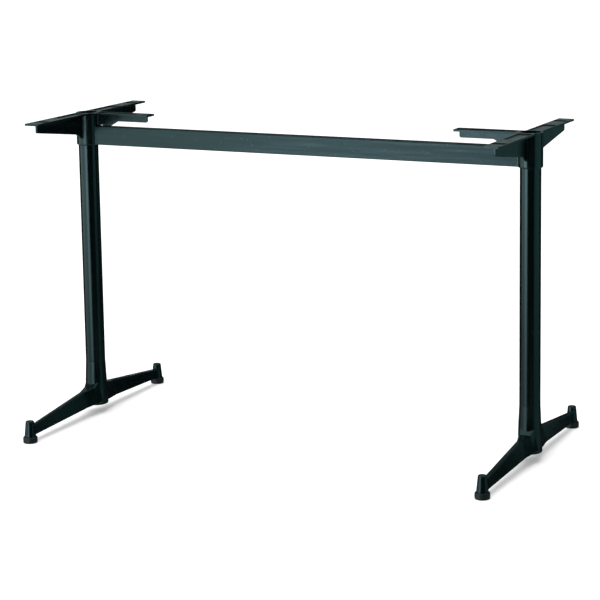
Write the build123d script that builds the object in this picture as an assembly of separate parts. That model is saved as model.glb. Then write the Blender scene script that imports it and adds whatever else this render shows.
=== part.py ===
"""Twin-column frame that carries a counter table.

Two cast feet, two round steel columns, two cast T-shaped brackets that the table top is screwed to, and
one rectangular bar between the brackets. A long rod inside each column draws the foot and the bracket
together. Millimetres; the origin lies on the floor midway between the columns, X runs along the bar,
Y from the front to the back, and Z up.
"""
from build123d import *
import os
from math import cos, radians, tan

# Whole frame
column_spacing = 1500.0
frame_height = 990.0
glide_spread = 800.0

# Round columns
column_diameter = 63.5
column_wall = 2.0
column_edge_chamfer = 0.7

# Fits between pieces
spigot_clearance = 0.1
thread_clearance = 0.05
rod_hole_clearance = 0.5
joint_gap = 0.3

# Feet: hub
hub_height = 174.0
hub_underside = 28.0
hub_flare = 6.5
hub_wall = 6.0
hub_bottom_fillet = 5.0
spigot_length = 30.0
spigot_wall = 4.0
diaphragm_thickness = 10.0
diaphragm_height = 100.0
rod_boss_diameter = 26.0
rod_boss_length = 34.0
hub_rib_thickness = 5.0
hub_rib_lift = 6.0

# Feet: arms, as heights above the floor and half widths where they meet the hub and the glide boss
arm_root_top = 96.0
arm_root_underside = 40.0
arm_root_half_width = 36.5
arm_root_crest = 29.0
arm_waist_reach = 92.0
arm_waist_half_width = 21.2
arm_waist_crest = 8.2
arm_tip_top = 51.0
arm_tip_underside = 23.0
arm_tip_half_width = 12.0
arm_tip_crest = 7.5
arm_crest_radius = 4.5
crest_round_share = 0.8
crest_sweep_reach = 46.0
crest_sweep_rise = 30.0
room_least_crest = 2.0
arm_wall = 4.5
arm_rib_thickness = 4.0
arm_rib_count = 3

# Feet: glide bosses
boss_height = 69.0
boss_top_diameter = 26.0
boss_bottom_diameter = 36.0
boss_crown_fillet = 3.5
boss_root_fillet = 3.0
stud_hole_depth = 40.0

# Glides
glide_diameter = 45.0
glide_height = 19.6
glide_edge_fillet = 4.0
glide_sole_recess = 1.2
glide_sole_rim = 4.0
stud_diameter = 10.0
stud_reach = 32.0
stud_head_across = 16.0
stud_head_height = 6.0
stud_head_lift = 6.0

# Brackets: collar
collar_diameter = 74.0
collar_length = 104.0
collar_bore = 62.0
collar_bottom_fillet = 3.5
bridge_thickness = 12.0
bridge_drop = 75.0
seat_reach = 38.0

# Brackets: arms under the table top
arm_width = 49.0
arm_plate = 6.0
front_arm_reach = 330.0
inner_arm_reach = 233.0
arm_end_fillet = 3.0
pocket_depth = 3.0
pocket_rim = 3.0
pocket_corner = 2.5
pocket_root = 42.0
hole_pad_length = 78.0
end_pad_length = 46.0
screw_hole_diameter = 7.0
screw_hole_spacing = 26.0
end_hole_inset = 20.0
second_hole_inset = 115.0

# Brackets: webs below the arms
web_thickness = 6.0
web_set_back = 28.0
inner_web_set_back = 12.0
web_end_depth = 32.0
web_root_depth = 65.0
web_root_reach = 71.0
web_gusset_drop = 16.0
web_gusset_run = 29.0
web_end_radius = 6.0
inner_web_depth = 26.0
gusset_reach = 114.0
gusset_run = 30.0
notch_width = 24.0
notch_height = 12.0

# Tie bar and its spigots
bar_height = 60.0
bar_width = 30.0
bar_wall = 2.0
bar_corner_radius = 3.0
bar_drop = 43.0
bar_spigot_length = 45.0
bar_spigot_wall = 5.0
bar_bolt_reach = 56.0
bolt_boss_length = 16.0

# Fasteners
rod_diameter = 10.0
rod_stick_out = 4.0
nut_across_flats = 17.0
nut_height = 8.0
nut_face_diameter = 16.2
nut_bevel_angle = 30.0
washer_diameter = 24.0
washer_thickness = 2.0
bolt_diameter = 8.0
bolt_length = 22.0
bolt_head_across = 13.0
bolt_head_height = 5.3
bolt_washer_diameter = 16.0
bolt_washer_thickness = 1.6

# Worked out from the sizes above
column_radius = column_diameter / 2
column_bore_radius = column_radius - column_wall
collar_radius = collar_diameter / 2
spigot_radius = column_bore_radius - spigot_clearance
glide_reach = glide_spread / 2
boss_underside = glide_height + joint_gap
collar_underside = frame_height - collar_length
bar_top = frame_height - bar_drop
bar_middle = bar_top - bar_height / 2
bar_end = seat_reach + joint_gap
bar_length = column_spacing - 2 * bar_end
rod_hole_radius = rod_diameter / 2 + rod_hole_clearance
bolt_hole_radius = bolt_diameter / 2 + rod_hole_clearance
hub_bottom_radius = column_radius + hub_flare
diaphragm_underside = diaphragm_height - diaphragm_thickness
rod_boss_underside = diaphragm_underside - rod_boss_length
bridge_top = frame_height - bridge_drop
second_hole_reach = front_arm_reach - second_hole_inset
pad_inner = second_hole_reach - hole_pad_length / 2
pad_outer = second_hole_reach + hole_pad_length / 2
plate_underside = frame_height - arm_plate
left_x = -column_spacing / 2
right_x = column_spacing / 2


def hub_radius(z):
    """Outer radius of the tapered hub at a height above the floor."""
    return column_radius + hub_flare * (hub_height - z) / (hub_height - hub_underside)


def tapered_round(low_radius, high_radius, low_z, high_z):
    """A round frustum on the column axis, between two heights."""
    profile = Polyline((0, low_z), (low_radius, low_z), (high_radius, high_z), (0, high_z), close=True)
    return revolve(Plane.XZ * make_face(profile), Axis.Z)


def round_bar(radius, low_z, high_z):
    """A plain cylinder on the column axis, between two heights."""
    return Pos(0, 0, low_z) * Cylinder(radius, high_z - low_z, align=(Align.CENTER, Align.CENTER, Align.MIN))


def between(reach, start, end, at_start, at_end):
    """A size that runs straight from one value at a start reach to another at an end reach."""
    return at_start + (reach - start) / (end - start) * (at_end - at_start)


def arm_section(reach, inset, drop):
    """Cross section of a foot arm at a reach from the column: a trapezium with a rounded crest.

    The inset draws the sides and the crest in, for the room inside, and the drop lets the underside down.
    """
    if reach < arm_waist_reach:
        half_width = between(reach, 0, arm_waist_reach, arm_root_half_width, arm_waist_half_width)
        crest = between(reach, 0, arm_waist_reach, arm_root_crest, arm_waist_crest)
    else:
        half_width = between(reach, arm_waist_reach, glide_reach, arm_waist_half_width, arm_tip_half_width)
        crest = between(reach, arm_waist_reach, glide_reach, arm_waist_crest, arm_tip_crest)
    underside = between(reach, 0, glide_reach, arm_root_underside, arm_tip_underside) - drop
    top = between(reach, 0, glide_reach, arm_root_top, arm_tip_top) - inset
    if reach < crest_sweep_reach:
        top += between(reach, 0, crest_sweep_reach, crest_sweep_rise, 0)
    half_width -= inset
    crest = max(crest - inset, room_least_crest)
    corners = [(-half_width, underside), (half_width, underside), (crest, top), (-crest, top)]
    section = make_face(Polyline(*corners, close=True))
    crest_radius = min(arm_crest_radius, crest * crest_round_share)
    section = fillet(section.vertices().group_by(Axis.Y)[-1], crest_radius)
    return Plane(origin=(0, reach, 0), x_dir=(-1, 0, 0), z_dir=(0, 1, 0)) * section


def foot_arm(start, end, inset, drop):
    """One arm towards +Y, or the room inside it when inset by its wall and let down past its underside."""
    knees = [reach for reach in (crest_sweep_reach, arm_waist_reach) if start < reach < end]
    return loft([arm_section(reach, inset, drop) for reach in [start, *knees, end]], ruled=True)


def glide_boss():
    """Tapered boss at the end of an arm, with a rounded crown."""
    boss = tapered_round(boss_bottom_diameter / 2, boss_top_diameter / 2, boss_underside, boss_height)
    return fillet(boss.edges().sort_by(Axis.Z)[-1], boss_crown_fillet)


def foot():
    """Cast two-arm foot, hollow from below, with its spigot for the column."""
    hub = tapered_round(hub_bottom_radius, column_radius, hub_underside, hub_height)
    hub = fillet(hub.edges().sort_by(Axis.Z)[0], hub_bottom_fillet)
    hub = chamfer(hub.edges().sort_by(Axis.Z)[-1], column_edge_chamfer)
    arm = foot_arm(0, glide_reach, 0, 0)
    boss = Pos(0, glide_reach, 0) * glide_boss()
    limb = arm + boss
    limb = fillet(new_edges(arm, boss, combined=limb), boss_root_fillet)
    body = hub + limb + Rot(0, 0, 180) * limb
    # spigot that centres the column
    body += round_bar(spigot_radius, hub_height, hub_height + spigot_length)
    # room inside: below the diaphragm and along each arm, then above the diaphragm
    lower_radius = hub_bottom_radius - hub_wall
    upper_radius = hub_radius(diaphragm_underside) - hub_wall
    lower = tapered_round(lower_radius, upper_radius, hub_underside, diaphragm_underside)
    room = foot_arm(0, glide_reach, arm_wall, arm_wall)
    room = split(room, Plane.XY.offset(diaphragm_underside), keep=Keep.BOTTOM)
    room -= Pos(0, glide_reach, 0) * round_bar(boss_bottom_diameter / 2, 0, boss_height)
    body -= lower + room + Rot(0, 0, 180) * room
    body -= round_bar(spigot_radius - spigot_wall, diaphragm_height, hub_height + spigot_length)
    # boss that the rod nut pulls on, with four ribs to the hub wall
    body += round_bar(rod_boss_diameter / 2, rod_boss_underside, diaphragm_underside)
    for turn in (45, 135):
        body += Rot(0, 0, turn) * hub_rib()
    body += arm_ribs()
    body -= round_bar(rod_hole_radius, 0, hub_height)
    stud_hole_radius = stud_diameter / 2 + thread_clearance
    for side in (-1, 1):
        hole = round_bar(stud_hole_radius, boss_underside, boss_underside + stud_hole_depth)
        body -= Pos(0, side * glide_reach, 0) * hole
    return body


def hub_rib():
    """Upright rib across the hub, below the diaphragm, its ends in the middle of the hub wall."""
    length = 2 * (hub_radius(diaphragm_underside) - hub_wall / 2)
    low = rod_boss_underside + hub_rib_lift
    height = diaphragm_underside - low
    rib = Box(length, hub_rib_thickness, height, align=(Align.CENTER, Align.CENTER, Align.MIN))
    return Pos(0, 0, low) * rib


def arm_ribs():
    """Cross ribs that stiffen the hollow arms."""
    ribs = Part()
    first = hub_bottom_radius
    last = glide_reach - boss_bottom_diameter / 2
    pitch = (last - first) / (arm_rib_count + 1)
    for turn in (0, 180):
        for i in range(arm_rib_count):
            section = arm_section(first + pitch * (i + 1), arm_wall / 2, -arm_wall)
            rib = extrude(section, arm_rib_thickness / 2, both=True)
            ribs += Rot(0, 0, turn) * rib
    return ribs


def column():
    """Round steel tube between the foot and the bracket."""
    tube = round_bar(column_radius, hub_height, collar_underside)
    tube -= round_bar(column_bore_radius, hub_height, collar_underside)
    outer = tube.edges().filter_by(GeomType.CIRCLE).group_by(SortBy.RADIUS)[-1]
    return chamfer(outer, column_edge_chamfer)


def bracket_arm(reach, along):
    """Flat arm that the table top lies on, from the column axis towards +X or both ways along Y."""
    plate = Box(reach, arm_width, arm_plate, align=(Align.MIN, Align.CENTER, Align.MIN))
    ends = plate.edges().filter_by(Axis.Z).group_by(Axis.X)[-1]
    plate = fillet(ends, arm_end_fillet)
    return Rot(0, 0, along) * (Pos(0, 0, plate_underside) * plate)


def arm_pocket(start, end, along):
    """Shallow recess in the top of an arm, between two reaches."""
    width = arm_width - 2 * pocket_rim
    pocket = Box(end - start, width, pocket_depth, align=(Align.MIN, Align.CENTER, Align.MAX))
    pocket = fillet(pocket.edges().filter_by(Axis.Z), pocket_corner)
    return Rot(0, 0, along) * (Pos(start, 0, frame_height) * pocket)


def screw_holes(reach, along):
    """Pair of screw holes side by side across an arm."""
    holes = Part()
    for side in (-1, 1):
        hole = Pos(reach, side * screw_hole_spacing / 2, frame_height) * Cylinder(
            screw_hole_diameter / 2, arm_plate, align=(Align.CENTER, Align.CENTER, Align.MAX)
        )
        holes += hole
    return Rot(0, 0, along) * holes


def long_web():
    """Web below the two long arms, deeper towards the collar, with a short gusset against it."""
    web_end = front_arm_reach - web_set_back
    root_z = frame_height - web_root_depth
    slope_z = root_z - web_gusset_drop
    outline = Polyline(
        (0, plate_underside),
        (web_end, plate_underside),
        (web_end, frame_height - web_end_depth),
        (web_root_reach, root_z),
        (web_root_reach - web_gusset_run, slope_z),
        (0, slope_z),
        close=True,
    )
    face = make_face(outline)
    toe = face.vertices().sort_by(Axis.X)[-2:].sort_by(Axis.Y)[0]
    face = fillet(toe, web_end_radius)
    web = extrude(Plane.YZ * face, web_thickness / 2, both=True)
    return web + mirror(web, about=Plane.XZ)


def inner_web():
    """Web below the inner arm: shallow out to its end, then a gusset down to the top of the bar."""
    web_end = inner_arm_reach - inner_web_set_back
    low_z = frame_height - inner_web_depth
    foot_z = bar_top + joint_gap
    outline = Polyline(
        (0, plate_underside),
        (web_end, plate_underside),
        (web_end, low_z),
        (gusset_reach, low_z),
        (gusset_reach - gusset_run, foot_z),
        (0, foot_z),
        close=True,
    )
    face = make_face(outline)
    toe = face.vertices().sort_by(Axis.X)[-2:].sort_by(Axis.Y)[0]
    face = fillet(toe, web_end_radius)
    web = extrude(Plane.XZ * face, web_thickness / 2, both=True)
    notch = Pos(bar_bolt_reach, 0, foot_z) * Box(
        notch_width, web_thickness, notch_height, align=(Align.CENTER, Align.CENTER, Align.MIN)
    )
    return web - notch


def bar_seat():
    """Flat seat on the collar for the end of the bar, as wide and as high as the bar."""
    seat = Box(seat_reach, bar_width, bar_height, align=(Align.MIN, Align.CENTER, Align.CENTER))
    return Pos(0, 0, bar_middle) * seat


def bar_spigot():
    """Hollow spigot on the seat that the bar slides over, with a boss for its bolt."""
    height = bar_height - 2 * (bar_wall + spigot_clearance)
    width = bar_width - 2 * (bar_wall + spigot_clearance)
    outer = Pos(seat_reach, 0, bar_middle) * Box(
        bar_spigot_length, width, height, align=(Align.MIN, Align.CENTER, Align.CENTER)
    )
    outer = fillet(outer.edges().filter_by(Axis.X), bar_corner_radius - bar_wall)
    inner = Pos(seat_reach + bar_spigot_wall, 0, bar_middle) * Box(
        bar_spigot_length, width - 2 * bar_spigot_wall, height - 2 * bar_spigot_wall,
        align=(Align.MIN, Align.CENTER, Align.CENTER),
    )
    boss_depth = bolt_length - bar_wall
    boss_place = Pos(bar_bolt_reach, 0, bar_middle + height / 2)
    boss = boss_place * Box(
        bolt_boss_length, width, boss_depth, align=(Align.CENTER, Align.CENTER, Align.MAX)
    )
    hole = boss_place * Cylinder(
        bolt_diameter / 2 + thread_clearance, boss_depth, align=(Align.CENTER, Align.CENTER, Align.MAX)
    )
    return outer - (inner - boss) - hole


def bracket():
    """Cast T bracket: open collar, two long arms and one inner arm, webs, bar seat and both spigots."""
    body = round_bar(collar_radius, collar_underside, frame_height)
    body = fillet(body.edges().sort_by(Axis.Z)[0], collar_bottom_fillet)
    for along in (90, -90):
        body += bracket_arm(front_arm_reach, along)
    body += bracket_arm(inner_arm_reach, 0)
    body += long_web()
    body += inner_web()
    body += bar_seat()
    body += bar_spigot()
    spigot_end = collar_underside - spigot_length
    body += round_bar(spigot_radius, spigot_end, collar_underside)
    # open collar above the bridge, open spigot below it
    body -= round_bar(collar_bore / 2, bridge_top, frame_height)
    body -= round_bar(spigot_radius - spigot_wall, spigot_end, bridge_top - bridge_thickness)
    body -= round_bar(rod_hole_radius, spigot_end, frame_height)
    for along in (90, -90):
        body -= arm_pocket(pocket_root, pad_inner, along)
        body -= arm_pocket(pad_outer, front_arm_reach - end_pad_length, along)
        body -= screw_holes(front_arm_reach - end_hole_inset, along)
        body -= screw_holes(second_hole_reach, along)
    body -= arm_pocket(pocket_root, inner_arm_reach - end_pad_length, 0)
    body -= screw_holes(inner_arm_reach - end_hole_inset, 0)
    return body


def tie_bar():
    """Rectangular tube between the two brackets, with a bolt hole in its top wall near each end."""
    section = RectangleRounded(bar_width, bar_height, bar_corner_radius)
    inner_width = bar_width - 2 * bar_wall
    inner_height = bar_height - 2 * bar_wall
    section -= RectangleRounded(inner_width, inner_height, bar_corner_radius - bar_wall)
    section = Plane(origin=(0, 0, bar_middle), x_dir=(0, 1, 0), z_dir=(1, 0, 0)) * section
    tube = extrude(section, bar_length / 2, both=True)
    for side in (-1, 1):
        x = side * (column_spacing / 2 - bar_bolt_reach)
        tube -= Pos(x, 0, bar_top) * Cylinder(
            bolt_hole_radius, bar_wall, align=(Align.CENTER, Align.CENTER, Align.MAX)
        )
    return tube


def hex_prism(across_flats, low_z, high_z):
    """Hexagonal prism on the Z axis."""
    hexagon = RegularPolygon(across_flats / 2, 6, major_radius=False)
    return extrude(Pos(0, 0, low_z) * hexagon, high_z - low_z)


def rod():
    """Threaded rod through the column, from below the foot's boss to above the bracket's bridge."""
    low = rod_boss_underside - washer_thickness - nut_height - rod_stick_out
    high = bridge_top + washer_thickness + nut_height + rod_stick_out
    return round_bar(rod_diameter / 2, low, high)


def washer(outer_diameter, hole_radius, low_z, thickness):
    """Plain washer on the Z axis."""
    disc = round_bar(outer_diameter / 2, low_z, low_z + thickness)
    return disc - round_bar(hole_radius, low_z, low_z + thickness)


def nut(low_z):
    """Hexagon nut on the rod, its corners turned off by a cone on both faces."""
    prism = hex_prism(nut_across_flats, low_z, low_z + nut_height)
    corner_radius = nut_across_flats / 2 / cos(radians(30))
    bevel_run = corner_radius - nut_face_diameter / 2
    bevel_rise = bevel_run * tan(radians(nut_bevel_angle))
    blank = round_bar(corner_radius, low_z, low_z + nut_height)
    blank = chamfer(blank.edges().filter_by(GeomType.CIRCLE), bevel_rise, bevel_run)
    return (prism & blank) - round_bar(rod_diameter / 2 + thread_clearance, low_z, low_z + nut_height)


def glide_stud():
    """Threaded stud of a glide, with the hexagon head that the pad is moulded round."""
    head = hex_prism(stud_head_across, stud_head_lift, stud_head_lift + stud_head_height)
    return head + round_bar(stud_diameter / 2, stud_head_lift, boss_underside + stud_reach)


def glide_pad():
    """Moulded pad of a glide: a rounded disc with a shallow recess in its sole."""
    pad = round_bar(glide_diameter / 2, 0, glide_height)
    pad = fillet(pad.edges().filter_by(GeomType.CIRCLE), glide_edge_fillet)
    pad -= round_bar(glide_diameter / 2 - glide_edge_fillet - glide_sole_rim, 0, glide_sole_recess)
    return pad - glide_stud()


def bar_bolt():
    """Hexagon bolt that holds the bar on its spigot, on the Z axis at the bolt's own place."""
    seat = bar_top + bolt_washer_thickness
    head = hex_prism(bolt_head_across, seat, seat + bolt_head_height)
    return head + round_bar(bolt_diameter / 2, seat - bolt_length, seat)


def save(name, shape):
    """Writes one piece."""
    shape.label = name
    export_step(shape, os.path.join("parts", name + ".step"))
    print(name, round(shape.volume / 1000, 1), "cm3")


os.makedirs("parts", exist_ok=True)
cast_foot = foot()
tube = column()
left_bracket = bracket()
right_bracket = mirror(left_bracket, about=Plane.YZ)
tie_rod = rod()
bottom_washer_z = rod_boss_underside - washer_thickness
bottom_washer = washer(washer_diameter, rod_hole_radius, bottom_washer_z, washer_thickness)
top_washer = washer(washer_diameter, rod_hole_radius, bridge_top, washer_thickness)
bottom_nut = nut(bottom_washer_z - nut_height)
top_nut = nut(bridge_top + washer_thickness)
bar_washer = washer(bolt_washer_diameter, bolt_hole_radius, bar_top, bolt_washer_thickness)
hex_bolt = bar_bolt()
stud = glide_stud()
pad = glide_pad()

sides = (("left", left_x, left_bracket, 1), ("right", right_x, right_bracket, -1))
for side_name, x, top_bracket, inward in sides:
    place = Pos(x, 0, 0)
    save(side_name + "_foot", place * cast_foot)
    save(side_name + "_column", place * tube)
    save(side_name + "_top_bracket", place * top_bracket)
    save(side_name + "_tie_rod", place * tie_rod)
    save(side_name + "_rod_bottom_washer", place * bottom_washer)
    save(side_name + "_rod_bottom_nut", place * bottom_nut)
    save(side_name + "_rod_top_washer", place * top_washer)
    save(side_name + "_rod_top_nut", place * top_nut)
    bolt_place = Pos(x + inward * bar_bolt_reach, 0, 0)
    save(side_name + "_bar_bolt", bolt_place * hex_bolt)
    save(side_name + "_bar_washer", bolt_place * bar_washer)
    for end_name, end in (("front", -1), ("back", 1)):
        glide_place = Pos(x, end * glide_reach, 0)
        save(side_name + "_" + end_name + "_glide_stud", glide_place * stud)
        save(side_name + "_" + end_name + "_glide_pad", glide_place * pad)
save("tie_bar", tie_bar())
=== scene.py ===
# %% [markdown]
# # A counter table frame, finished for a studio photograph
# The CAD model brings every solid piece of the frame: two cast feet, two round columns, two cast
# brackets, the tie bar, the rods and nuts inside, and the four levelling glides. This file dresses
# that model. It sets the camera and the studio, gives each piece its real finish, and puts real
# threads and bolt heads where the CAD model has plain cylinders.

# %% Load the frame and keep its box
import math

import bmesh
import bpy
from mathutils import Matrix, Vector


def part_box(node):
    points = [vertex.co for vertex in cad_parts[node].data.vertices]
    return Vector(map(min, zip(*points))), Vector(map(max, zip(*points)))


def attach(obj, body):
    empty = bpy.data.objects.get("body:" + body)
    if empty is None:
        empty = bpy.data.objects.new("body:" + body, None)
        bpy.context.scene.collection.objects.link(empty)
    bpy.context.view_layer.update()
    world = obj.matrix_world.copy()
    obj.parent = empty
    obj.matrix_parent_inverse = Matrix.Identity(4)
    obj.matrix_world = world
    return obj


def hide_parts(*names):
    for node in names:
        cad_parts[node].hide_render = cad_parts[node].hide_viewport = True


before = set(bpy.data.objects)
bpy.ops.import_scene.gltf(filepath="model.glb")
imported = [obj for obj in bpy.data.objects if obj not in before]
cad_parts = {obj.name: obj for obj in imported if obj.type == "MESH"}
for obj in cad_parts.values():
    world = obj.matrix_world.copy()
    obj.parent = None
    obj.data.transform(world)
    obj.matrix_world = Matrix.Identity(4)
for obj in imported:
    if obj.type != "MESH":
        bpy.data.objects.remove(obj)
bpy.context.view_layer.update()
print("pieces from the CAD model:", len(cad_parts))

# %% [markdown]
# ## The camera
# The photograph was taken from the front and a little to the right, with a long lens that flattens
# the perspective. Such a camera can be placed by eye, or worked out from points whose place on the
# real object is known. It was worked out here, because the column ends, the bar and the glides give
# enough points. The numbers below are that camera, about 6.3 m from the middle of the frame. They
# come in pixels of the photograph, so they are turned into millimetres of a sensor and into shifts.

# %% Camera from the photograph's viewpoint
IMAGE_SIZE = 600
SENSOR_MM = 36.0
FARTHEST_SEEN = 200.0
focal_pixels = 2060.0
principal_x, principal_y = 328.0, 210.0
yaw, pitch, roll = math.radians(24.979), math.radians(9.646), math.radians(-0.773)
camera_place = (2.721, -5.633, 1.777)

optics = bpy.data.cameras.new("studio_camera")
optics.sensor_width = SENSOR_MM
optics.lens = focal_pixels / IMAGE_SIZE * SENSOR_MM
optics.shift_x = (IMAGE_SIZE / 2 - principal_x) / IMAGE_SIZE
optics.shift_y = (principal_y - IMAGE_SIZE / 2) / IMAGE_SIZE
optics.clip_end = FARTHEST_SEEN
camera = bpy.data.objects.new("studio_camera", optics)
bpy.context.scene.collection.objects.link(camera)
look = Matrix.Rotation(yaw, 4, "Z") @ Matrix.Rotation(math.pi / 2 - pitch, 4, "X")
camera.matrix_world = Matrix.Translation(camera_place) @ look @ Matrix.Rotation(roll, 4, "Z")
bpy.context.scene.camera = camera
print("lens in mm:", round(optics.lens, 1))

# %% [markdown]
# ## The floor and the wall
# The photograph has a pure white ground. A studio gets one with white paper that is lit until it
# burns out. Here a large sheet is nearly white and also glows a little, so that only a faint shadow
# stays under the feet. Low views would look past the sheet's far edge into the dark, so a white ball
# stands round the whole studio, and only the camera sees it. The paint mirrors neither of them,
# because black gloss paint that mirrors white all over looks grey.

# %% Floor and wall
FLOOR_SIZE = 120.0
WALL_RADIUS = 58.0
MIDDLE = (0.0, 0.0, 0.0)


def studio_paper(name, tone, glow):
    """White paper that never shines: tone is how much light it gives back, glow what it adds."""
    paper = bpy.data.materials.new(name)
    paper.use_nodes = True
    face = paper.node_tree.nodes["Principled BSDF"]
    face.inputs["Base Color"].default_value = (tone, tone, tone, 1.0)
    face.inputs["Roughness"].default_value = 1.0
    face.inputs["Specular IOR Level"].default_value = 0.0
    face.inputs["Emission Color"].default_value = (1.0, 1.0, 1.0, 1.0)
    face.inputs["Emission Strength"].default_value = glow
    return paper


bpy.ops.mesh.primitive_plane_add(size=FLOOR_SIZE, location=MIDDLE)
floor = bpy.context.object
floor.name = "floor"
floor.data.materials.append(studio_paper("floor_paper", tone=0.90, glow=0.35))
floor.visible_glossy = False

wall_paper = studio_paper("wall_paper", tone=0.0, glow=1.0)
# The wall lights nothing, so the renderer needn't try it as a lamp.
wall_paper.cycles.emission_sampling = "NONE"
bpy.ops.mesh.primitive_uv_sphere_add(segments=48, ring_count=24, radius=WALL_RADIUS, location=MIDDLE)
wall = bpy.context.object
wall.name = "wall"
wall.data.materials.append(wall_paper)
wall.visible_glossy = wall.visible_diffuse = wall.visible_shadow = wall.visible_transmission = False
print("floor", FLOOR_SIZE, "m wide, wall", WALL_RADIUS, "m away")

# %% [markdown]
# ## The lamps
# Soft light comes from lamps that look large from the object. A wide soft box hangs over the frame,
# and a sun whose disc is 80 degrees across stands for what the ceiling and the walls of a white
# studio throw back. One large lamp alone would do, but its light falls off over the floor. The sun
# isn't mirrored, so the paint shows only the box and the cards of the next steps.

# %% Lamps
BOX_PLACE = Vector((0.3, 0.4, 4.6))
BOX_WIDTH, BOX_DEPTH = 6.0, 5.0
BOX_GLOW = 0.55
SUN_STRENGTH = 3.2
SUN_DISC, SUN_TILT_X, SUN_TILT_Y = math.radians(80), math.radians(12), math.radians(-10)


def hang_lamp(name, kind):
    """A lamp of a kind, and the object that holds it."""
    lamp = bpy.data.lights.new(name, kind)
    holder = bpy.data.objects.new(name, lamp)
    bpy.context.scene.collection.objects.link(holder)
    return lamp, holder


top_box, box_holder = hang_lamp("top_box", "AREA")
top_box.shape = "RECTANGLE"
top_box.size, top_box.size_y = BOX_WIDTH, BOX_DEPTH
top_box.energy = BOX_GLOW * math.pi * BOX_WIDTH * BOX_DEPTH
facing_the_middle = BOX_PLACE.to_track_quat("Z", "Y").to_matrix().to_4x4()
box_holder.matrix_world = Matrix.Translation(BOX_PLACE) @ facing_the_middle
box_holder.visible_camera = False

overhead, overhead_holder = hang_lamp("overhead", "SUN")
overhead.energy = SUN_STRENGTH
overhead.angle = SUN_DISC
overhead_holder.rotation_euler = (SUN_TILT_X, SUN_TILT_Y, 0.0)
overhead_holder.visible_glossy = False
print("soft box of", BOX_WIDTH, "by", BOX_DEPTH, "m with", round(top_box.energy), "watts")

# %% [markdown]
# ## A card that only the paint sees
# Gloss paint shows almost nothing but what it mirrors, so what stands round the frame matters more
# than the paint's own colour. A photographer sets up pale cards and lights them. Here each card
# glows by itself and is hidden from all but mirror rays, so it draws a light band on the paint and
# changes nothing else. Its glow may fade with the height, as the bands in the photograph do.

# %% Mirror card
def upright_card(start, end, low, high):
    """The corners of an upright card over the line from start to end."""
    return [(*start, low), (*end, low), (*end, high), (*start, high)]


def level_card(half_width, height):
    """The corners of a level card over or under the middle of the frame."""
    near, far = -half_width, half_width
    return [(near, near, height), (far, near, height), (far, far, height), (near, far, height)]


def mirror_card(name, corners, tint, glows, fade=(0.0, 1.0)):
    """A card that only mirror rays see; its glow goes from the first to the second over the fade."""
    paint = bpy.data.materials.new(name)
    paint.use_nodes = True
    nodes, links = paint.node_tree.nodes, paint.node_tree.links
    nodes.remove(nodes["Principled BSDF"])
    light = nodes.new("ShaderNodeEmission")
    height = nodes.new("ShaderNodeSeparateXYZ")
    ramp = nodes.new("ShaderNodeMapRange")
    for socket, number in zip(("From Min", "From Max", "To Min", "To Max"), (*fade, *glows)):
        ramp.inputs[socket].default_value = number
    links.new(nodes.new("ShaderNodeTexCoord").outputs["Object"], height.inputs["Vector"])
    links.new(height.outputs["Z"], ramp.inputs["Value"])
    links.new(ramp.outputs["Result"], light.inputs["Strength"])
    links.new(light.outputs["Emission"], nodes["Material Output"].inputs["Surface"])
    light.inputs["Color"].default_value = (*tint, 1.0)
    paint.cycles.emission_sampling = "NONE"
    sheet = bpy.data.meshes.new(name)
    sheet.from_pydata(corners, [], [(0, 1, 2, 3)])
    sheet.materials.append(paint)
    card = bpy.data.objects.new(name, sheet)
    bpy.context.scene.collection.objects.link(card)
    card.visible_camera = card.visible_diffuse = card.visible_shadow = card.visible_transmission = False
    print(name, "glows from", glows[0], "to", glows[1])

# %% [markdown]
# ## The cards for the columns and the bar
# A column mirrors the room all round it, so each light strip down it tells in which direction a card
# stood. The strip on the left of both columns is the key card, with the dimmer side card beyond it.
# The fill card gives the fainter strip on the right, and the rear card the thin light on the right
# rim. The gap in front is the black band down the middle of each column. The bar and the brackets'
# webs mirror the same two cards on the left, so their grey comes from them too.

# %% Cards for the columns and the bar
PALE_BLUE = (0.78, 1.0, 1.1)
PALE_TEAL = (0.80, 1.0, 1.0)
DEEP_TEAL = (0.45, 1.0, 1.0)

key_place = upright_card((-0.16, -3.47), (-1.45, -2.43), low=-2.0, high=0.75)
mirror_card("key_card", key_place, PALE_BLUE, glows=(1.1, 4.1), fade=(-0.6, 0.45))
side_place = upright_card((-1.45, -2.43), (-3.00, -0.35), low=-2.0, high=3.0)
mirror_card("side_card", side_place, PALE_TEAL, glows=(0.55, 1.6), fade=(-0.5, 0.4))
fill_place = upright_card((2.00, -0.72), (2.00, 0.88), low=-0.8, high=1.5)
mirror_card("fill_card", fill_place, DEEP_TEAL, glows=(0.3, 0.5), fade=(-0.1, 0.5))
rear_place = upright_card((1.30, 2.63), (2.40, 2.63), low=-0.2, high=1.1)
mirror_card("rear_card", rear_place, DEEP_TEAL, glows=(0.16, 0.16))

# %% [markdown]
# ## The cards for the flat tops
# The brackets' flat tops face the ceiling, and from the photograph's low view they mirror what stands
# high up behind the frame. Two cards there give them their grey, with a gap between them that keeps
# the bar's top dark. The overhead card is for views from above, which mirror the ceiling itself.

# %% Cards for the flat tops
left_back_place = upright_card((-5.00, 4.00), (-2.85, 4.00), low=1.15, high=3.2)
mirror_card("left_back_card", left_back_place, PALE_TEAL, glows=(0.26, 0.26))
right_back_place = upright_card((-0.95, 4.00), (3.00, 4.00), low=1.15, high=3.2)
mirror_card("right_back_card", right_back_place, PALE_TEAL, glows=(0.26, 0.26))
mirror_card("overhead_card", level_card(half_width=2.0, height=4.0), PALE_TEAL, glows=(1.2, 1.2))

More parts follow.
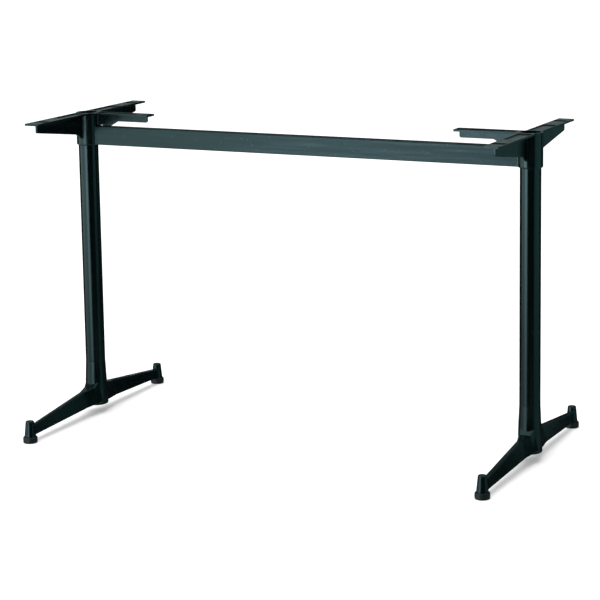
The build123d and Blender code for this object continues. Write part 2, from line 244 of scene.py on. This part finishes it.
# %% [markdown]
# ## The cards for the other sides
# Seen from behind or from an end, the frame would mirror only an empty room and look like a cut-out.
# Three more cards give those sides their bands too: one behind, one high in front, and one under
# the floor, which the paint can see because it doesn't mirror the floor. They stand where the
# photograph's own view mirrors next to nothing, so its picture stays as it is.

# %% Cards for the sides that the photograph does not show
wall_place = upright_card((-1.85, 5.10), (-3.20, 4.80), low=-4.0, high=0.95)
mirror_card("wall_card", wall_place, PALE_TEAL, glows=(1.2, 2.2), fade=(-1.5, 0.5))
high_place = upright_card((-5.00, -7.00), (5.00, -7.00), low=1.6, high=4.5)
mirror_card("high_card", high_place, PALE_TEAL, glows=(0.6, 0.6))
mirror_card("low_card", level_card(half_width=6.0, height=-2.0), PALE_TEAL, glows=(0.35, 0.35))

# %% [markdown]
# ## The world
# Whatever no card covers is the world. It is nearly black, because every bit of grey in it would lie
# over the paint as a haze and take away the deep black of the photograph. The Standard view keeps
# the white ground white, where a film-like view would turn it grey.

# %% World
WORLD_TINT = (0.93, 0.97, 1.0, 1.0)
WORLD_STRENGTH = 0.015

surroundings = bpy.data.worlds.new("surroundings")
surroundings.use_nodes = True
surroundings.node_tree.nodes["Background"].inputs["Color"].default_value = WORLD_TINT
surroundings.node_tree.nodes["Background"].inputs["Strength"].default_value = WORLD_STRENGTH
bpy.context.scene.world = surroundings
bpy.context.scene.view_settings.view_transform = "Standard"
print("world strength:", WORLD_STRENGTH)

# %% [markdown]
# ## Finishes: noise and ranges
# Every finish is made from nodes that read the piece's own coordinates, so a pattern stays on the
# piece however it is seen. A picture of paint would show its borders and repeat. The same few steps
# come back in each finish, so they are small helpers: a noise of a given size, and a range that
# picks out part of it.

# %% Noise and ranges
MOST_OF_A_NOISE = (0.3, 0.7)


def blank_finish(name):
    """A new material, its shader and the object coordinates."""
    finish = bpy.data.materials.new(name)
    finish.use_nodes = True
    shader = finish.node_tree.nodes["Principled BSDF"]
    place = finish.node_tree.nodes.new("ShaderNodeTexCoord").outputs["Object"]
    return finish, shader, place


def speckle(finish, place, size_mm, detail=2.0, stretch=(1.0, 1.0, 1.0)):
    """Noise with lumps about size_mm across, as a value round 0.5."""
    nodes, links = finish.node_tree.nodes, finish.node_tree.links
    scale = nodes.new("ShaderNodeMapping")
    scale.inputs["Scale"].default_value = stretch
    noise = nodes.new("ShaderNodeTexNoise")
    noise.inputs["Scale"].default_value = 1000.0 / size_mm
    noise.inputs["Detail"].default_value = detail
    links.new(place, scale.inputs["Vector"])
    links.new(scale.outputs["Vector"], noise.inputs["Vector"])
    return noise.outputs[0]


def ranged(finish, value, low, high, out_low, out_high):
    """Turns a value between low and high into one between out_low and out_high, and stops there."""
    step = finish.node_tree.nodes.new("ShaderNodeMapRange")
    for socket, number in zip(("From Min", "From Max", "To Min", "To Max"), (low, high, out_low, out_high)):
        step.inputs[socket].default_value = number
    finish.node_tree.links.new(value, step.inputs["Value"])
    return step.outputs["Result"]


def times(finish, first, second):
    """The product of two values."""
    step = finish.node_tree.nodes.new("ShaderNodeMath")
    step.operation = "MULTIPLY"
    finish.node_tree.links.new(first, step.inputs[0])
    finish.node_tree.links.new(second, step.inputs[1])
    return step.outputs[0]

# %% [markdown]
# ## Finishes: colour, relief and edges
# Two colours are mixed by a noise or by a mask, and a relief is a bump that can lie on top of another
# one. Paint gathers in hollows and thins on edges, so a finish has to know where the edges are. They
# could be painted by hand; here a normal that is rounded off is compared with the flat one, which
# finds every edge of every piece and rounds it in the same step.

# %% Colour, relief and edges
# The Mix node has sockets for each kind of value; these are the ones for colours.
MIX_SHARE, MIX_FIRST, MIX_SECOND, MIXED = 0, 6, 7, 2
# How closely the two normals agree where an edge begins and where it is at its full.
EDGE_BEGINS, EDGE_FULL = 0.97, 0.80
EDGE_SAMPLES = 4


def blended(finish, share, first, second):
    """A colour that goes from the first to the second as share goes from 0 to 1."""
    mix = finish.node_tree.nodes.new("ShaderNodeMix")
    mix.data_type = "RGBA"
    finish.node_tree.links.new(share, mix.inputs[MIX_SHARE])
    for socket, colour in ((mix.inputs[MIX_FIRST], first), (mix.inputs[MIX_SECOND], second)):
        if isinstance(colour, tuple):
            socket.default_value = (*colour, 1.0)
        else:
            finish.node_tree.links.new(colour, socket)
    return mix.outputs[MIXED]


def relief(finish, height, depth_mm, under):
    """A bump of that depth on top of another normal."""
    bump = finish.node_tree.nodes.new("ShaderNodeBump")
    bump.inputs["Distance"].default_value = depth_mm / 1000.0
    finish.node_tree.links.new(height, bump.inputs["Height"])
    finish.node_tree.links.new(under, bump.inputs["Normal"])
    return bump.outputs["Normal"]


def soft_edges(finish, radius_mm):
    """Normals that round the sharp edges, and a mask that is 1 on those edges."""
    nodes, links = finish.node_tree.nodes, finish.node_tree.links
    rounder = nodes.new("ShaderNodeBevel")
    rounder.samples = EDGE_SAMPLES
    rounder.inputs["Radius"].default_value = radius_mm / 1000.0
    flat = nodes.new("ShaderNodeNewGeometry")
    agree = nodes.new("ShaderNodeVectorMath")
    agree.operation = "DOT_PRODUCT"
    links.new(rounder.outputs["Normal"], agree.inputs[0])
    links.new(flat.outputs["Normal"], agree.inputs[1])
    mask = ranged(finish, agree.outputs["Value"], EDGE_BEGINS, EDGE_FULL, 0.0, 1.0)
    return rounder.outputs["Normal"], mask

# %% [markdown]
# ## Finishes: onto the pieces
# A CAD piece comes in as a mesh that stays as it is, and only its material slots are filled. Choosing
# the pieces by a word in their names dresses both sides of the frame at once.

# %% Onto the pieces
def join_up(finish, shader, colour, roughness, normal):
    """Joins a colour, a roughness and a relief to the shader."""
    for value, socket in ((colour, "Base Color"), (roughness, "Roughness"), (normal, "Normal")):
        finish.node_tree.links.new(value, shader.inputs[socket])


def put_on(finish, *name_parts):
    """Gives the finish to every CAD piece whose name holds one of these words."""
    dressed = [piece for name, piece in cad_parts.items() if any(part in name for part in name_parts)]
    for piece in dressed:
        if not piece.material_slots:
            piece.data.materials.append(finish)
        for slot in piece.material_slots:
            slot.material = finish
    print(finish.name, "on", len(dressed), "pieces")

# %% [markdown]
# ## Black enamel on the castings
# The feet and the brackets are sand castings: the sand leaves a fine grain that the baked enamel
# only half fills, under it the cast surface has slow waves, and the paint thins on the edges. All
# three could be modelled, at a cost of millions of faces; as relief and colour they cost nothing. The
# lighter colour on the edges is partly that worn, thin paint and partly a painted highlight, which
# stands for the light rims that the edges catch. The tint on the mirror gives the enamel the
# slightly blue-green light that the photograph shows.

# %% Casting enamel
ENAMEL_TINT = (0.75, 1.0, 1.0, 1.0)
SAND_MM, SAND_DEPTH_MM = 1.6, 0.03
WAVE_MM, WAVE_DEPTH_MM = 26.0, 0.12
PATCH_MM = 55.0
THICK_ENAMEL, THIN_ENAMEL = (0.0002, 0.0020, 0.0021), (0.0006, 0.0040, 0.0041)
# Lighter colour for the edges: partly worn, thin paint and partly a painted highlight for the light rims
# the edges catch.
EDGE_WEAR_AND_HIGHLIGHT_ENAMEL = (0.022, 0.034, 0.035)
ENAMEL_ROUGHNESS = (0.17, 0.27)
ENAMEL_EDGE_MM = 1.6

casting_enamel, shader, place = blank_finish("casting_enamel")
edge_normal, edge_mask = soft_edges(casting_enamel, ENAMEL_EDGE_MM)
sand = speckle(casting_enamel, place, SAND_MM, detail=3.0)
waves = speckle(casting_enamel, place, WAVE_MM)
patches = speckle(casting_enamel, place, PATCH_MM, detail=4.0)
# Patches break up the edge colour, so the worn paint and the painted edge highlight show only here and
# there.
wear_and_highlight_patches = ranged(casting_enamel, patches, 0.45, 0.65, 0.1, 1.0)
edge_wear_and_highlight = times(casting_enamel, edge_mask, wear_and_highlight_patches)
tone = blended(casting_enamel, patches, THICK_ENAMEL, THIN_ENAMEL)
cast_surface = relief(casting_enamel, waves, WAVE_DEPTH_MM, edge_normal)
join_up(
    casting_enamel,
    shader,
    colour=blended(casting_enamel, edge_wear_and_highlight, tone, EDGE_WEAR_AND_HIGHLIGHT_ENAMEL),
    roughness=ranged(casting_enamel, patches, *MOST_OF_A_NOISE, *ENAMEL_ROUGHNESS),
    normal=relief(casting_enamel, sand, SAND_DEPTH_MM, cast_surface),
)
shader.inputs["Specular Tint"].default_value = ENAMEL_TINT
put_on(casting_enamel, "_foot", "_top_bracket")

# %% [markdown]
# ## Powder coat on the columns and the bar
# Drawn steel tube is smooth, and powder coat lies on it with a faint orange peel. The columns take
# the light as soft vertical bands, so their relief is very shallow. The bar gets the same recipe with
# a flatter gloss, deeper draw marks along it and a little dust, as its face in the photograph shows.
# One recipe with a few numbers keeps the two coats related, as they are when they come from one oven.

# %% Column and bar coats
PEEL_MM, PEEL_DEPTH_MM = 3.0, 0.02
DRAW_MARK_MM = 9.0
CLOUD_MM = 90.0
DUST_MM = 6.0
ONLY_THE_PEAKS = (0.80, 0.84)
DUST = (0.090, 0.110, 0.112)
WORN_RIM = (0.007, 0.016, 0.0165)
TUBE_EDGE_MM = 1.0


def tube_coat(name, dark, light, roughness, marks_mm, dust_share, stretch):
    """Powder coat on drawn tube; the draw marks run along the axis that stretch makes long."""
    coat, coat_shader, coat_place = blank_finish(name)
    rounded, rim_mask = soft_edges(coat, TUBE_EDGE_MM)
    peel = speckle(coat, coat_place, PEEL_MM)
    draw_marks = speckle(coat, coat_place, DRAW_MARK_MM, detail=3.0, stretch=stretch)
    cloud = speckle(coat, coat_place, CLOUD_MM, detail=3.0)
    rubbed_rims = ranged(coat, cloud, 0.4, 0.7, 0.1, 0.9)
    rim_wear = times(coat, rim_mask, rubbed_rims)
    specks = speckle(coat, coat_place, DUST_MM, detail=0.0)
    dust = ranged(coat, specks, *ONLY_THE_PEAKS, 0.0, dust_share)
    paint = blended(coat, dust, blended(coat, cloud, dark, light), DUST)
    drawn = relief(coat, draw_marks, marks_mm, rounded)
    join_up(
        coat,
        coat_shader,
        colour=blended(coat, rim_wear, paint, WORN_RIM),
        roughness=ranged(coat, draw_marks, *MOST_OF_A_NOISE, *roughness),
        normal=relief(coat, peel, PEEL_DEPTH_MM, drawn),
    )
    coat_shader.inputs["Specular Tint"].default_value = ENAMEL_TINT
    return coat


column_coat = tube_coat(
    "column_coat",
    dark=(0.0001, 0.0012, 0.0013),
    light=(0.0002, 0.0022, 0.0023),
    roughness=(0.16, 0.22),
    marks_mm=0.03,
    dust_share=0.1,
    stretch=(1.0, 1.0, 0.06),
)
bar_coat = tube_coat(
    "bar_coat",
    dark=(0.0010, 0.0050, 0.0060),
    light=(0.0018, 0.0080, 0.0095),
    roughness=(0.26, 0.38),
    marks_mm=0.12,
    dust_share=0.35,
    stretch=(0.05, 1.0, 1.0),
)
put_on(column_coat, "_column")
put_on(bar_coat, "tie_bar")

# %% [markdown]
# ## Zinc on the fasteners
# Nuts, washers, rods and bolts are bright zinc plated steel. Zinc has a metal's colour and a cloudy
# gloss, with fine marks left by the tools. A metal could be one even grey, but then it looks like
# plastic; the clouds in its colour and its gloss are what make it read as plating.

# %% Zinc plate
CLOUDY_MM = 6.0
SCUFF_MM, SCUFF_DEPTH_MM = 0.8, 0.02
DULL_ZINC, BRIGHT_ZINC = (0.36, 0.34, 0.31), (0.54, 0.52, 0.48)
ZINC_ROUGHNESS = (0.28, 0.45)
ZINC_EDGE_MM = 0.4

zinc_plate, shader, place = blank_finish("zinc_plate")
edge_normal, _ = soft_edges(zinc_plate, ZINC_EDGE_MM)
cloudy = speckle(zinc_plate, place, CLOUDY_MM, detail=3.0)
scuffs = speckle(zinc_plate, place, SCUFF_MM, stretch=(1.0, 1.0, 4.0))
join_up(
    zinc_plate,
    shader,
    colour=blended(zinc_plate, cloudy, DULL_ZINC, BRIGHT_ZINC),
    roughness=ranged(zinc_plate, cloudy, *MOST_OF_A_NOISE, *ZINC_ROUGHNESS),
    normal=relief(zinc_plate, scuffs, SCUFF_DEPTH_MM, edge_normal),
)
shader.inputs["Metallic"].default_value = 1.0
put_on(zinc_plate, "_rod", "_bolt", "bar_washer", "_stud")

# %% [markdown]
# ## Plastic on the glides
# The glide pads are moulded from black plastic with a fine spark-eroded texture, matt enough to
# hide scratches from dragging, and a little lighter where the rim has rubbed. The texture is a fine
# even noise, because a moulded surface has no grain that runs one way.

# %% Glide plastic
SPARK_MM, SPARK_DEPTH_MM = 0.9, 0.04
RUBBED_MM = 7.0
PAD_BLACK, RUBBED_BLACK = (0.0010, 0.0030, 0.0032), (0.010, 0.014, 0.014)
PAD_ROUGHNESS = (0.38, 0.52)
PAD_EDGE_MM = 0.8

glide_plastic, shader, place = blank_finish("glide_plastic")
edge_normal, edge_mask = soft_edges(glide_plastic, PAD_EDGE_MM)
spark_grain = speckle(glide_plastic, place, SPARK_MM)
rub_marks = ranged(glide_plastic, speckle(glide_plastic, place, RUBBED_MM), 0.4, 0.6, 0.0, 0.7)
rubbed = times(glide_plastic, edge_mask, rub_marks)
join_up(
    glide_plastic,
    shader,
    colour=blended(glide_plastic, rubbed, PAD_BLACK, RUBBED_BLACK),
    roughness=ranged(glide_plastic, spark_grain, *MOST_OF_A_NOISE, *PAD_ROUGHNESS),
    normal=relief(glide_plastic, spark_grain, SPARK_DEPTH_MM, edge_normal),
)
put_on(glide_plastic, "_pad")

# %% [markdown]
# ## Growing a round piece
# A bolt is a round bar whose surface goes in and out with the height and the angle. It could be spun
# from a profile, but a spin makes every side the same, and a hexagon and a thread don't look the same
# from every side. So a circle is extruded again and again along the Z axis, and after each step the
# corners of the new ring are set where the real surface is at that height.

# %% Grown bar
def grow_bar(shape, around, levels):
    """Grows a closed bar along the Z axis; each level gives reach and height at an angle."""
    ring = bmesh.ops.create_circle(shape, cap_ends=True, segments=around, radius=1.0)["verts"]
    rim = ring[0].link_faces[0].edges[:]
    for step, surface in enumerate(levels):
        if step > 0:
            grown = bmesh.ops.extrude_edge_only(shape, edges=rim)["geom"]
            ring = [part for part in grown if isinstance(part, bmesh.types.BMVert)]
            rim = [part for part in grown if isinstance(part, bmesh.types.BMEdge) and part.is_boundary]
        for corner in ring:
            angle = math.atan2(corner.co.y, corner.co.x)
            reach, height = surface(angle)
            corner.co = (reach * math.cos(angle), reach * math.sin(angle), height)
    bmesh.ops.edgeloop_fill(shape, edges=rim)

# %% [markdown]
# ## Screw threads
# The tie rods, the glide studs and the bar bolts are plain cylinders in the CAD model. On the real
# frame their threads are rolled: a V groove that climbs one pitch each turn, with the bar's end
# chamfered so that a nut starts easily. A groove could be cut with a boolean along a helix, which is
# slow and often leaves holes. Here six rings a turn each take the groove's depth at their height. The
# piece is as wide as the cylinder it replaces, so it still fits its hole and its nut.

# %% Threaded bar
MM = 0.001
RINGS_A_TURN = 6
GROOVE_SHARE = 0.6
CHAMFER_SHARE = 0.7
BAR_CORNERS = 36


def ring_heights(low, high, pitch, stretches):
    """The heights of a bar's two ends and of all the rings that its threads need."""
    heights = {round(low, 7), round(high, 7)}
    for start, end in stretches:
        count = int((end - start) / pitch * RINGS_A_TURN)
        rings = [start + step * pitch / RINGS_A_TURN for step in range(count + 1)]
        heights.update(round(height, 7) for height in rings if low < height < high)
    return sorted(heights)


def threaded_bar(shape, low, high, radius, pitch, stretches):
    """A round bar up from low to high, with a thread over each stretch of heights."""

    def surface_at(height):
        share = max(min((height - start) / pitch, (end - height) / pitch, 1.0) for start, end in stretches)
        deepest = max(share, 0.0) * GROOVE_SHARE * pitch
        chamfered = radius - pitch * CHAMFER_SHARE + min(height - low, high - height)

        def reach_and_height(angle):
            climb = (height / pitch - angle / (2.0 * math.pi)) % 1.0
            groove = deepest * (1.0 - abs(2.0 * climb - 1.0))
            return min(radius - groove, chamfered), height

        return reach_and_height

    levels = [surface_at(height) for height in ring_heights(low, high, pitch, stretches)]
    grow_bar(shape, BAR_CORNERS, levels)

# %% [markdown]
# ## Bolt heads
# A hexagon head is cut from bar, and then a 30 degree cone turns its corners off, so the top face is
# a circle and each flat ends in a curve. A circle of six sides would be quicker and look like a cut
# pencil. Three rings do it: the hexagon below, the same hexagon lowered towards its corners, and the
# circle of the top face.

# %% Hexagon head
HEAD_CORNERS = 48
FACE_SHARE = 0.95
CORNER_CONE = math.radians(30)


def hexagon_head(shape, low, high, across):
    """A hexagon head from low to high, with a corner on the X axis."""
    face_radius = across / 2 * FACE_SHARE

    def outline(angle):
        return across / 2 / math.cos(angle % (math.pi / 3) - math.pi / 6), low

    def shoulder(angle):
        reach = outline(angle)[0]
        return reach, high - (reach - face_radius) * math.tan(CORNER_CONE)

    def face(angle):
        return face_radius, high

    grow_bar(shape, HEAD_CORNERS, [outline, shoulder, face])

# %% [markdown]
# ## From a shape to a piece
# A grown shape stands on the Z axis and has to go where its CAD node is. Moving the object would be
# simpler, but the export sets every object back to the origin, so the corners themselves are moved.
# The piece then rides on the node's body and stands for the node, which is hidden.

# %% Zinc plated piece
SHARP_EDGE = math.radians(32)


def zinc_piece(name, shape, spot, body, node):
    """Sets the shape over a spot, as a zinc plated piece that stands for a node and rides on its body."""
    bmesh.ops.translate(shape, verts=shape.verts, vec=(*spot, 0.0))
    bmesh.ops.recalc_face_normals(shape, faces=shape.faces)
    for edge in shape.edges:
        edge.smooth = edge.calc_face_angle(0.0) < SHARP_EDGE
    for face in shape.faces:
        face.smooth = True
    mesh = bpy.data.meshes.new(name)
    shape.to_mesh(mesh)
    shape.free()
    mesh.materials.append(zinc_plate)
    piece = bpy.data.objects.new(name, mesh)
    bpy.context.scene.collection.objects.link(piece)
    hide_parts(node)
    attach(piece, body)
    print(name, len(mesh.polygons), "faces")


def stand_of(node):
    """Where a node stands, and its lowest and highest point."""
    low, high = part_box(node)
    return ((low.x + high.x) / 2, (low.y + high.y) / 2), low.z, high.z

# %% [markdown]
# ## The tie rods
# A long rod runs up inside each column and clamps the foot and the bracket to it. It is a plain bar
# with a thread at each end only, which is cheaper than threaded bar and stronger in between. The
# threads start a little beyond the rod's ends, so that the groove is already deep at the chamfer.

# %% Tie rods
OVERRUN = 3 * MM
ROD_RADIUS, ROD_PITCH, ROD_THREAD = 5 * MM, 1.5 * MM, 40 * MM

for side in ("left", "right"):
    spot, low, high = stand_of(side + "_tie_rod")
    threads = [(low - OVERRUN, low + ROD_THREAD), (high - ROD_THREAD, high + OVERRUN)]
    rod = bmesh.new()
    threaded_bar(rod, low, high, ROD_RADIUS, ROD_PITCH, threads)
    zinc_piece(side + "_threaded_rod", rod, spot, "frame", side + "_tie_rod")

# %% [markdown]
# ## The bar bolts
# One bolt goes down through each end of the bar into the bracket's spigot. Only its head shows, in
# the notch over the bar. The shank reaches a little into the head, so the two shapes are one piece
# without a joint to work out.

# %% Bar bolts
SHANK_IN_HEAD = 1 * MM
BOLT_RADIUS, BOLT_PITCH = 4 * MM, 1.25 * MM
BOLT_HEAD_HEIGHT, BOLT_HEAD_ACROSS = 5.3 * MM, 13 * MM
BARE_UNDER_HEAD = 1 * MM

for side in ("left", "right"):
    spot, low, high = stand_of(side + "_bar_bolt")
    seat = high - BOLT_HEAD_HEIGHT
    thread = (low - OVERRUN, seat - BARE_UNDER_HEAD)
    bolt = bmesh.new()
    hexagon_head(bolt, seat, high, BOLT_HEAD_ACROSS)
    threaded_bar(bolt, low, seat + SHANK_IN_HEAD, BOLT_RADIUS, BOLT_PITCH, [thread])
    zinc_piece(side + "_hexagon_bolt", bolt, spot, "frame", side + "_bar_bolt")

# %% [markdown]
# ## The glide studs
# Each glide has a stud that is screwed up into the foot's boss, and the stud's hexagon sits in the
# moulded pad. The stud rides on the glide's own body: when the glide is let down, a few turns of
# its thread come into view under the boss, and a plain cylinder there would look unfinished.

# %% Glide studs
STUD_RADIUS, STUD_PITCH = 5 * MM, 1.5 * MM
STUD_HEAD_HEIGHT, STUD_HEAD_ACROSS = 6 * MM, 16 * MM
STUD_THREAD_STARTS = 9 * MM

for glide in ("left_front_glide", "left_back_glide", "right_front_glide", "right_back_glide"):
    spot, low, high = stand_of(glide + "_stud")
    thread = (low + STUD_THREAD_STARTS, high + OVERRUN)
    stud = bmesh.new()
    hexagon_head(stud, low, low + STUD_HEAD_HEIGHT, STUD_HEAD_ACROSS)
    threaded_bar(stud, low + SHANK_IN_HEAD, high, STUD_RADIUS, STUD_PITCH, [thread])
    zinc_piece(glide + "_threaded_stud", stud, spot, glide, glide + "_stud")
